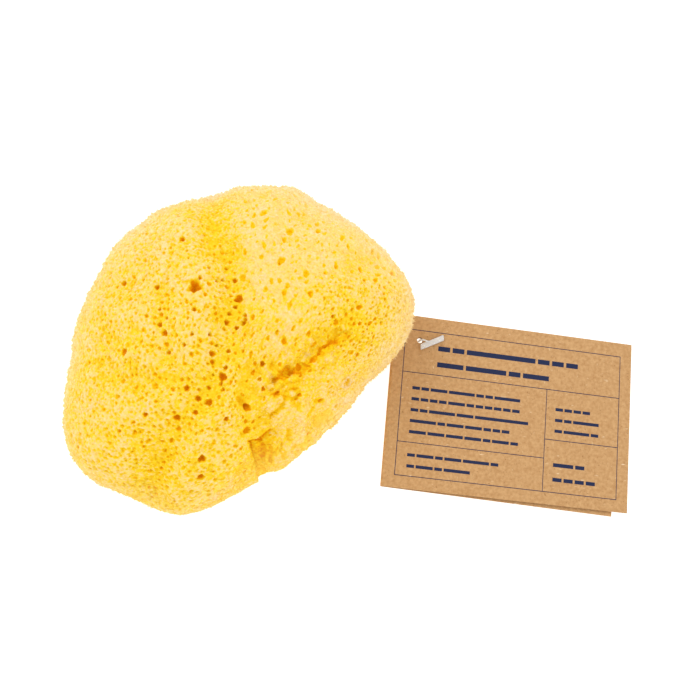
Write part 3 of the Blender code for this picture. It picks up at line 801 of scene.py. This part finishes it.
# The tag: one sheet of brown kraft card, folded once at its left, with a small punched hole. It was cut
# a little out of square. It leans off the table towards the sponge, its back leaf under the front one.
LEAF_WIDTH = 74.0
LEAF_HEIGHT = 52.0
BACK_SHORTER = 4.4
CARD_THICK = 0.35
LEAF_SPACING = 1.15
UV_SPAN = 100.0
CARD_SLOPE = math.radians(6.0)
HOLE = (8.2, 44.7, 0.9)
OUT_OF_SQUARE = ((0.0, -0.2), (1.1, -0.5), (-0.3, 1.3), (0.0, 0.0))
card_drop = LEAF_SPACING + CARD_THICK / 2.0
card_rise = card_drop * math.cos(CARD_SLOPE) - BACK_SHORTER * math.sin(CARD_SLOPE) + 0.05
card_home = (Matrix.Translation(Vector((117.9, -20.8, card_rise)) * MM)
             @ Matrix.Rotation(math.radians(-5.3), 4, "Z") @ Matrix.Rotation(CARD_SLOPE, 4, "Y")
             @ Matrix.Diagonal((MM, MM, MM, 1.0)))


def as_cut(x, y):
    """Where a point of a square leaf lies on the real one, which was cut a little out of square."""
    across = min(max((x + LEAF_WIDTH) / LEAF_WIDTH, 0.0), 1.0)
    up = y / LEAF_HEIGHT + 0.5
    shares = ((1.0 - across) * (1.0 - up), across * (1.0 - up), (1.0 - across) * up, across * up)
    return tuple(start + sum(share * shift[axis] for share, shift in zip(shares, OUT_OF_SQUARE))
                 for axis, start in enumerate((x, y)))


fold_radius = LEAF_SPACING / 2.0
fold_x = -LEAF_WIDTH + fold_radius
FRONT_STEPS, FOLD_STEPS, BACK_STEPS, SHEET_ROWS = 24, 10, 22, 16
front_width = LEAF_WIDTH - fold_radius
section = [(-front_width * step / FRONT_STEPS, 0.0) for step in range(FRONT_STEPS)]
for step in range(FOLD_STEPS + 1):
    turn = math.pi * step / FOLD_STEPS
    section.append((fold_x - fold_radius * math.sin(turn), fold_radius * (math.cos(turn) - 1.0)))
section += [(fold_x + (-BACK_SHORTER - fold_x) * step / BACK_STEPS, -LEAF_SPACING)
            for step in range(1, BACK_STEPS + 1)]
sheet = bmesh.new()
row = [sheet.verts.new((x, -LEAF_HEIGHT / 2.0, z)) for x, z in section]
strips = [sheet.edges.new(pair) for pair in zip(row, row[1:])]
for _ in range(SHEET_ROWS):
    drawn = bmesh.ops.extrude_edge_only(sheet, edges=strips)["geom"]
    moved = [item for item in drawn if isinstance(item, bmesh.types.BMVert)]
    strips = [item for item in drawn if isinstance(item, bmesh.types.BMEdge)
              and all(vert in moved for vert in item.verts)]
    bmesh.ops.translate(sheet, vec=(0.0, LEAF_HEIGHT / SHEET_ROWS, 0.0), verts=moved)
sheet_map = sheet.loops.layers.uv.new("sheet")
travel = {}
walked = 0.0
for (x0, z0), (x1, z1) in zip([section[0]] + section, section):
    walked += math.hypot(x1 - x0, z1 - z0)
    travel[(round(x1, 4), round(z1, 4))] = walked
for face in sheet.faces:
    for loop in face.loops:
        co = loop.vert.co
        along = travel[min(travel, key=lambda key: abs(key[0] - co.x) + abs(key[1] - co.z))]
        loop[sheet_map].uv = ((LEAF_WIDTH - along) / UV_SPAN, (co.y + LEAF_HEIGHT / 2.0) / UV_SPAN)
for vert in sheet.verts:
    vert.co.xy = as_cut(vert.co.x, vert.co.y)
    if vert.co.z < -0.75 * LEAF_SPACING:
        vert.co.y -= (vert.co.x - fold_x) * math.tan(math.radians(1.1))
    bow = 0.10 * noise.noise(vert.co / 30.0)
    if vert.co.x > fold_x + 1.0:
        vert.co.z += bow
bmesh.ops.recalc_face_normals(sheet, faces=sheet.faces)
if sum(face.normal.z for face in sheet.faces if face.calc_center_median().z > -0.3) < 0.0:
    bmesh.ops.reverse_faces(sheet, faces=sheet.faces)
card_mesh = finish_mesh(sheet, "tag_sheet")
card = put_in_scene("tag_sheet", card_mesh)
thicken = card.modifiers.new("thickness", "SOLIDIFY")
thicken.thickness = CARD_THICK
thicken.offset = 0.0
thicken.material_offset = 1
thicken.material_offset_rim = 2
punch = bmesh.new()
bmesh.ops.create_cone(punch, cap_ends=True, segments=32, radius1=HOLE[2], radius2=HOLE[2], depth=6.0,
                      matrix=Matrix.Translation((*as_cut(HOLE[0] - LEAF_WIDTH, HOLE[1] - LEAF_HEIGHT / 2.0), -0.5)))
punch_tool = put_in_scene("punch", finish_mesh(punch, "punch"))
pierce = card.modifiers.new("hole", "BOOLEAN")
pierce.operation = "DIFFERENCE"
pierce.object = punch_tool
soften = card.modifiers.new("edges", "BEVEL")
soften.width = 0.05
soften.segments = 2
soften.limit_method = "ANGLE"

# Its finish: uncoated kraft, brown with darker and paler fibres.
fleck = bpy.data.node_groups.new("kraft_fibre", "ShaderNodeTree")
fleck.interface.new_socket("Colour", in_out="OUTPUT", socket_type="NodeSocketColor")
fleck.interface.new_socket("Height", in_out="OUTPUT", socket_type="NodeSocketFloat")
paper_place = fleck.nodes.new("ShaderNodeTexCoord").outputs["Object"]
fleck_out = fleck.nodes.new("NodeGroupOutput")


def paper_noise(scale, detail, stretch=(1.0, 1.0, 1.0), turn=0.0):
    """Noise on the card, stretched along fibres where asked."""
    lay = fleck.nodes.new("ShaderNodeMapping")
    lay.inputs["Scale"].default_value = stretch
    lay.inputs["Rotation"].default_value = (0.0, 0.0, turn)
    fleck.links.new(paper_place, lay.inputs["Vector"])
    return add_noise(fleck, lay.outputs["Vector"], scale, detail)


mottle = paper_noise(1050.0, 4.0)
kraft = (0.47, 0.245, 0.095, 1.0)
for noise_here, factor, add, tone in (
    (mottle, 2.6, -0.8, (0.66, 0.395, 0.18)),
    (paper_noise(60.0, 3.0), 0.8, -0.1, (0.575, 0.33, 0.143)),
    (paper_noise(2300.0, 1.0), 5.0, -3.3, (0.27, 0.115, 0.04)),
    (paper_noise(1500.0, 1.0, (1.0, 0.4, 1.0), 0.7), 6.0, -4.3, (0.30, 0.135, 0.045)),
    (paper_noise(1500.0, 1.0, (0.30, 1.0, 1.0), -0.5), 7.0, -5.0, (0.84, 0.62, 0.38)),
    (paper_noise(1700.0, 1.0, (1.0, 0.28, 1.0), 0.35), 7.0, -5.1, (0.80, 0.57, 0.33)),
):
    kraft = mix_colour(fleck, scale_up(fleck, noise_here, factor, add), kraft, (*tone, 1.0))
fleck.links.new(kraft, fleck_out.inputs["Colour"])
fleck.links.new(mottle, fleck_out.inputs["Height"])

# Its print: dark blue ink, soaked flat into the card. It is a plain frame of rules, each by its left,
# right, bottom and top in mm, and blocks of greeked lines, with their pitch, their height and a seed too.
BOX = ("Left", "Right", "Bottom", "Top")
RULES = (
    (3.6, 70.6, 3.6, 3.82), (3.6, 70.6, 47.6, 47.82), (3.6, 3.82, 3.6, 47.82), (70.4, 70.6, 3.6, 47.82),
    (3.6, 70.6, 34.6, 34.82), (3.6, 48.0, 13.6, 13.82), (48.0, 48.2, 3.6, 34.82), (48.0, 70.6, 19.4, 19.62),
)
LINES = BOX + ("Pitch", "Height", "Seed")
WORDS = (
    (14.0, 64.0, 37.2, 46.0, 4.9, 1.5, 0.3), (7.0, 46.0, 16.4, 32.8, 3.3, 0.95, 1.7),
    (7.0, 36.0, 6.2, 12.5, 3.3, 0.95, 3.9), (51.0, 69.0, 21.8, 31.6, 3.3, 0.95, 5.2),
    (51.0, 69.0, 7.0, 15.7, 4.4, 1.15, 7.1),
)
LETTERS = 0.34


def ink_group(name, sockets):
    """A node group that makes ink of a place on the sheet and these sockets; its inputs and its output."""
    group = bpy.data.node_groups.new(name, "ShaderNodeTree")
    for socket in ("Across", "Up") + sockets:
        group.interface.new_socket(socket, in_out="INPUT", socket_type="NodeSocketFloat")
    group.interface.new_socket("Ink", in_out="OUTPUT", socket_type="NodeSocketFloat")
    return group, group.nodes.new("NodeGroupInput").outputs, group.nodes.new("NodeGroupOutput").inputs["Ink"]


def between(tree, value, low, high):
    """1 where value lies between low and high."""
    return work(tree, "MULTIPLY", work(tree, "GREATER_THAN", value, low), work(tree, "LESS_THAN", value, high))


rule_group, rule_in, rule_ink = ink_group("printed_rule", BOX)
box = work(rule_group, "MULTIPLY",
           between(rule_group, rule_in["Across"], rule_in["Left"], rule_in["Right"]),
           between(rule_group, rule_in["Up"], rule_in["Bottom"], rule_in["Top"]))
rule_group.links.new(box, rule_ink)
words_group, words_in, words_ink = ink_group("greeked_lines", LINES)


def reckon(operation, *values):
    """One Math node of the greeked lines."""
    return work(words_group, operation, *values)


rows_up = reckon("DIVIDE", reckon("SUBTRACT", words_in["Up"], words_in["Bottom"]), words_in["Pitch"])
row_seed = reckon("ADD", reckon("MULTIPLY", reckon("FLOOR", rows_up), 0.379), words_in["Seed"])
in_row = reckon("MULTIPLY", words_in["Pitch"], reckon("FRACT", rows_up))
scaled = reckon("DIVIDE", reckon("SUBTRACT", words_in["Across"], words_in["Left"]), words_in["Height"])
cell = reckon("MULTIPLY", scaled, LETTERS)
cell_place = words_group.nodes.new("ShaderNodeCombineXYZ")
words_group.links.new(reckon("FLOOR", cell), cell_place.inputs[0])
words_group.links.new(row_seed, cell_place.inputs[1])
draw = words_group.nodes.new("ShaderNodeTexWhiteNoise")
draw.noise_dimensions = "2D"
words_group.links.new(cell_place.outputs[0], draw.inputs["Vector"])
gap = reckon("MULTIPLY", reckon("GREATER_THAN", reckon("FRACT", cell), 0.83),
             reckon("LESS_THAN", draw.outputs["Value"], 0.62))
width = reckon("DIVIDE", reckon("SUBTRACT", words_in["Right"], words_in["Left"]), words_in["Height"])
short_by = reckon("MULTIPLY", 3.0, reckon("FRACT", reckon("MULTIPLY", row_seed, 3.3)))
row_end = reckon("FLOOR", reckon("SUBTRACT", reckon("MULTIPLY", LETTERS, width), short_by))
ink = between(words_group, in_row, 0.0, words_in["Height"])
for factor in (reckon("SUBTRACT", 1.0, gap), between(words_group, cell, 0.0, reckon("SUBTRACT", row_end, 0.17)),
               between(words_group, words_in["Up"], words_in["Bottom"], words_in["Top"])):
    ink = reckon("MULTIPLY", ink, factor)
words_group.links.new(ink, words_ink)


def kraft_finish(name, printed):
    """The card's material, with or without its print."""
    made, tree, shader = new_finish(name, {"Roughness": 0.9, "Specular IOR Level": 0.2})
    paper = tree.nodes.new("ShaderNodeGroup")
    paper.node_tree = fleck
    colour = paper.outputs["Colour"]
    if printed:
        sheet_place = tree.nodes.new("ShaderNodeUVMap")
        sheet_place.uv_map = "sheet"
        axes = tree.nodes.new("ShaderNodeSeparateXYZ")
        tree.links.new(sheet_place.outputs["UV"], axes.inputs[0])
        across, up = (work(tree, "MULTIPLY", axis, UV_SPAN) for axis in axes.outputs[:2])
        ink = 0.0
        for group, names, rows in ((rule_group, BOX, RULES), (words_group, LINES, WORDS)):
            for values in rows:
                node = tree.nodes.new("ShaderNodeGroup")
                node.node_tree = group
                for socket, value in zip(("Across", "Up") + names, (across, up) + values):
                    feed(tree, node.inputs[socket], value)
                ink = work(tree, "MAXIMUM", ink, node.outputs["Ink"])
        colour = mix_colour(tree, work(tree, "MULTIPLY", ink, 0.97), colour, (0.004, 0.020, 0.075, 1.0))
    tree.links.new(colour, shader.inputs["Base Color"])
    add_bump(tree, shader, paper.outputs["Height"], 0.25, 0.0001)
    return made


for finish in (kraft_finish("kraft_printed", True), kraft_finish("kraft_plain", False),
               kraft_finish("kraft_cut_edge", False)):
    card_mesh.materials.append(finish)
bpy.context.view_layer.update()
finished = bpy.data.meshes.new_from_object(card.evaluated_get(bpy.context.evaluated_depsgraph_get()))
card.modifiers.clear()
card.data = finished
bpy.data.objects.remove(punch_tool, do_unlink=True)
finished.transform(card_home)
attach(card, "root")
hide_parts("tag_card")

# The tag pin: a clear nylon filament ending in a flat bar, shot through the hole, that holds the card
# to the sponge. The bar lies on the card; the filament goes down the hole and back into the sponge.
hole_x, hole_y = as_cut(HOLE[0] - LEAF_WIDTH, HOLE[1] - LEAF_HEIGHT / 2.0)
bar_height = CARD_THICK / 2.0 + 0.35 + 0.4
under = -card_drop - 0.75
route = (
    (hole_x + 3.7, hole_y - 0.45, bar_height), (hole_x + 2.0, hole_y - 0.3, bar_height + 0.25),
    (hole_x + 0.7, hole_y, bar_height + 0.1), (hole_x, hole_y, 0.0), (hole_x, hole_y, -LEAF_SPACING),
    (hole_x - 0.8, hole_y, under), (hole_x - 4.0, hole_y - 0.2, under), (-LEAF_WIDTH, hole_y - 0.7, under),
    (-LEAF_WIDTH - 3.0, hole_y - 1.1, under + 1.6), (-LEAF_WIDTH - 5.2, hole_y - 1.3, under + 5.0),
    (-LEAF_WIDTH - 6.2, hole_y - 1.3, under + 8.0),
)
strand = bpy.data.curves.new("tag_pin_filament", "CURVE")
strand.dimensions = "3D"
strand.bevel_depth = 0.28
strand.bevel_resolution = 4
strand.resolution_u = 8
strand.use_fill_caps = True
spline = strand.splines.new("BEZIER")
spline.bezier_points.add(len(route) - 1)
for point, spot in zip(spline.bezier_points, route):
    point.co = spot
    point.handle_left_type = "AUTO"
    point.handle_right_type = "AUTO"
strand_guide = put_in_scene("strand_guide", strand)
bpy.context.view_layer.update()
strand_mesh = bpy.data.meshes.new_from_object(strand_guide.evaluated_get(bpy.context.evaluated_depsgraph_get()))
bpy.data.objects.remove(strand_guide, do_unlink=True)
pin = bmesh.new()
bmesh.ops.create_cube(pin, size=1.0, matrix=Matrix.Diagonal((7.9, 1.7, 0.8, 1.0)))
for vert in pin.verts:
    vert.co.x += 0.35 * vert.co.y
bmesh.ops.bevel(pin, geom=pin.edges[:], offset=0.30, segments=4, affect="EDGES", profile=0.5, material=-1)
bmesh.ops.rotate(pin, cent=(0, 0, 0), matrix=Matrix.Rotation(math.radians(28.6), 3, "Z"), verts=pin.verts)
bmesh.ops.translate(pin, vec=route[0], verts=pin.verts)
pin.from_mesh(strand_mesh)
bmesh.ops.remove_doubles(pin, verts=pin.verts, dist=0.002)
bmesh.ops.recalc_face_normals(pin, faces=pin.faces)
pin_mesh = finish_mesh(pin, "tag_pin")
pin_mesh.transform(card_home)
pin_mesh.shade_smooth()
tag_pin = put_in_scene("tag_pin", pin_mesh)
nylon, tree, shader = new_finish("clear_nylon", {
    "Base Color": (0.95, 0.93, 0.90, 1.0), "Transmission Weight": 0.35, "IOR": 1.5})
cloud = add_noise(tree, tree.nodes.new("ShaderNodeTexCoord").outputs["Object"], 900.0, 2.0)
feed(tree, shader.inputs["Roughness"], scale_up(tree, cloud, 0.5, 0.1))
pin_mesh.materials.append(nylon)
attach(tag_pin, "root")
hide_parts("tag_fastener")

# The room: a plain pale floor, a broad soft light over the left shoulder and an even pale surround.
floor_shape = bmesh.new()
bmesh.ops.create_grid(floor_shape, x_segments=1, y_segments=1, size=3.0)
floor = put_in_scene("floor", finish_mesh(floor_shape, "floor"))
floor.location.z = -0.0002
floor_finish, _, _ = new_finish("white_table", {
    "Base Color": (0.6, 0.6, 0.6, 1.0), "Roughness": 0.9,
    "Emission Color": (1.0, 1.0, 1.0, 1.0), "Emission Strength": 0.85})
floor.data.materials.append(floor_finish)

surround = bpy.data.worlds.new("surround")
bpy.context.scene.world = surround
surround.use_nodes = True
surround.node_tree.nodes["Background"].inputs["Color"].default_value = (1.0, 1.0, 1.0, 1.0)
surround.node_tree.nodes["Background"].inputs["Strength"].default_value = 0.92
for name, spot, size, power in (("key", (-0.45, 0.40, 0.85), 0.5, 2.4), ("fill", (0.7, -0.2, 0.5), 0.6, 0.85)):
    lamp = bpy.data.lights.new(name, "AREA")
    lamp.size = size
    lamp.energy = power
    light = put_in_scene(name, lamp)
    light.location = spot
    light.rotation_euler = (-Vector(spot)).to_track_quat("-Z", "Y").to_euler()
bpy.context.scene.view_settings.view_transform = "Standard"
